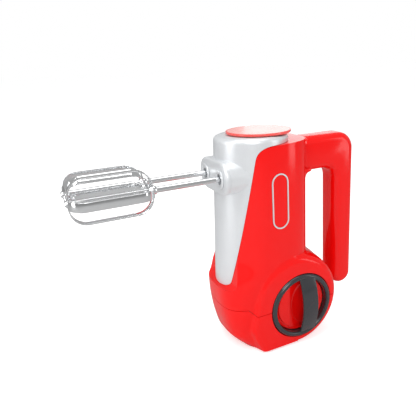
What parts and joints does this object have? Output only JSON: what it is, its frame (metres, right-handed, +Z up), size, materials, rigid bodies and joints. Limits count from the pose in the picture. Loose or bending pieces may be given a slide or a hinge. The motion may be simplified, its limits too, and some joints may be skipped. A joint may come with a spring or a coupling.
{
  "type": "hand mixer",
  "caption": "Upright hand mixer on its own base: vertical motor column, sideways beaters in the nose, hooked handle, round speed knob on top and a cord reel with a winding dial in the base.",
  "frame": {"origin": "where the vertical motor axis meets the surface that the base stands on", "axes": "+Z up along the motor axis; -X out of the nose along the beaters, +X to the handle; -Y out of the winding dial"},
  "size_m": [0.3274, 0.0999, 0.2468],
  "materials": {
    "gloss_red": "glossy",
    "satin_silver": "satin metallic paint",
    "gloss_grey": "glossy",
    "chrome": "polished",
    "steel": "brushed",
    "lamination": "satin",
    "copper": "satin",
    "brass": "satin",
    "nylon": "satin",
    "black_plastic": "matte",
    "rubber": "matte",
    "board_green": "satin",
    "carbon": "matte"
  },
  "bodies": {
    "housing": {"front_shell": "satin_silver", "main_casing": "gloss_red", "badge_frame": "satin_silver", "lower_casing": "gloss_red", "base_plate": "black_plastic", "foot_front": "rubber", "foot_rear": "rubber", "cord_gland": "rubber", "handle_half_near": "gloss_red", "handle_half_far": "gloss_red", "gear_frame": "black_plastic", "field_core": "lamination", "lower_bearing": "steel", "upper_bearing": "steel", "lower_bracket": "black_plastic", "speed_switch": "black_plastic", "turbo_spring": "steel", "control_board": "board_green", "reel_axle": "steel", "contact_plate": "brass", "base_screw_1": "steel", "handle_screw_1": "steel", "base_screw_2": "steel", "handle_screw_2": "steel", "base_screw_3": "steel", "handle_screw_3": "steel", "nose_collar_near": "satin_silver", "front_bush_near": "brass", "rear_bush_near": "brass", "field_coil_near": "copper", "carbon_brush_near": "carbon", "brush_holder_near": "brass", "nose_collar_far": "satin_silver", "front_bush_far": "brass", "rear_bush_far": "brass", "field_coil_far": "copper", "carbon_brush_far": "carbon", "brush_holder_far": "brass"},
    "rotor": {"armature_core": "lamination", "winding_end_lower": "copper", "winding_end_upper": "copper", "motor_shaft_with_worm": "steel", "commutator": "copper", "cooling_fan": "black_plastic"},
    "near_spindle": {"spindle_near": "steel", "worm_wheel_near": "nylon"},
    "far_spindle": {"spindle_far": "steel", "worm_wheel_far": "nylon"},
    "near_beater": {"beater_near": "chrome"},
    "far_beater": {"beater_far": "chrome"},
    "stem": {"knob_stem": "black_plastic"},
    "knob": {"speed_knob": "gloss_red"},
    "reel": {"reel_drum": "black_plastic", "slip_ring": "copper", "hub_disc": "gloss_red"},
    "dial_handle": {"winding_handle": "gloss_grey"}
  },
  "joints": [
    {"name": "rotor_spin", "type": "hinge", "parent": "housing", "child": "rotor", "pos_m": [0, 0, 0.13], "axis": [0, 0, 1], "continuous": true},
    {"name": "near_spindle_spin", "type": "hinge", "parent": "housing", "child": "near_spindle", "pos_m": [0, -0.018, 0.204], "axis": [1, 0, 0], "continuous": true},
    {"name": "near_beater_pull", "type": "slide", "parent": "near_spindle", "child": "near_beater", "axis": [-1, 0, 0], "range_m": [0, 0.036]},
    {"name": "far_spindle_spin", "type": "hinge", "parent": "housing", "child": "far_spindle", "pos_m": [0, 0.018, 0.204], "axis": [1, 0, 0], "continuous": true},
    {"name": "far_beater_pull", "type": "slide", "parent": "far_spindle", "child": "far_beater", "axis": [-1, 0, 0], "range_m": [0, 0.036]},
    {"name": "turbo_press", "type": "slide", "parent": "housing", "child": "stem", "axis": [0, 0, -1], "range_m": [0, 0.0012], "stiffness_N_per_m": 900, "springref_m": -0.002, "deforming": ["turbo_spring"]},
    {"name": "speed_turn", "type": "hinge", "parent": "stem", "child": "knob", "pos_m": [0.0096, 0, 0.243], "axis": [0, 0, -1], "range_deg": [0, 150]},
    {"name": "reel_turn", "type": "hinge", "parent": "housing", "child": "reel", "pos_m": [0.0355, 0, 0.048], "axis": [0, 1, 0], "continuous": true},
    {"name": "dial_handle_pull", "type": "slide", "parent": "reel", "child": "dial_handle", "axis": [0, -1, 0], "range_m": [0, 0.007]}
  ],
  "couplings": [
    {"joint": "near_spindle_spin", "follows": "rotor_spin", "ratio": 0.041667},
    {"joint": "far_spindle_spin", "follows": "rotor_spin", "ratio": -0.041667}
  ]
}
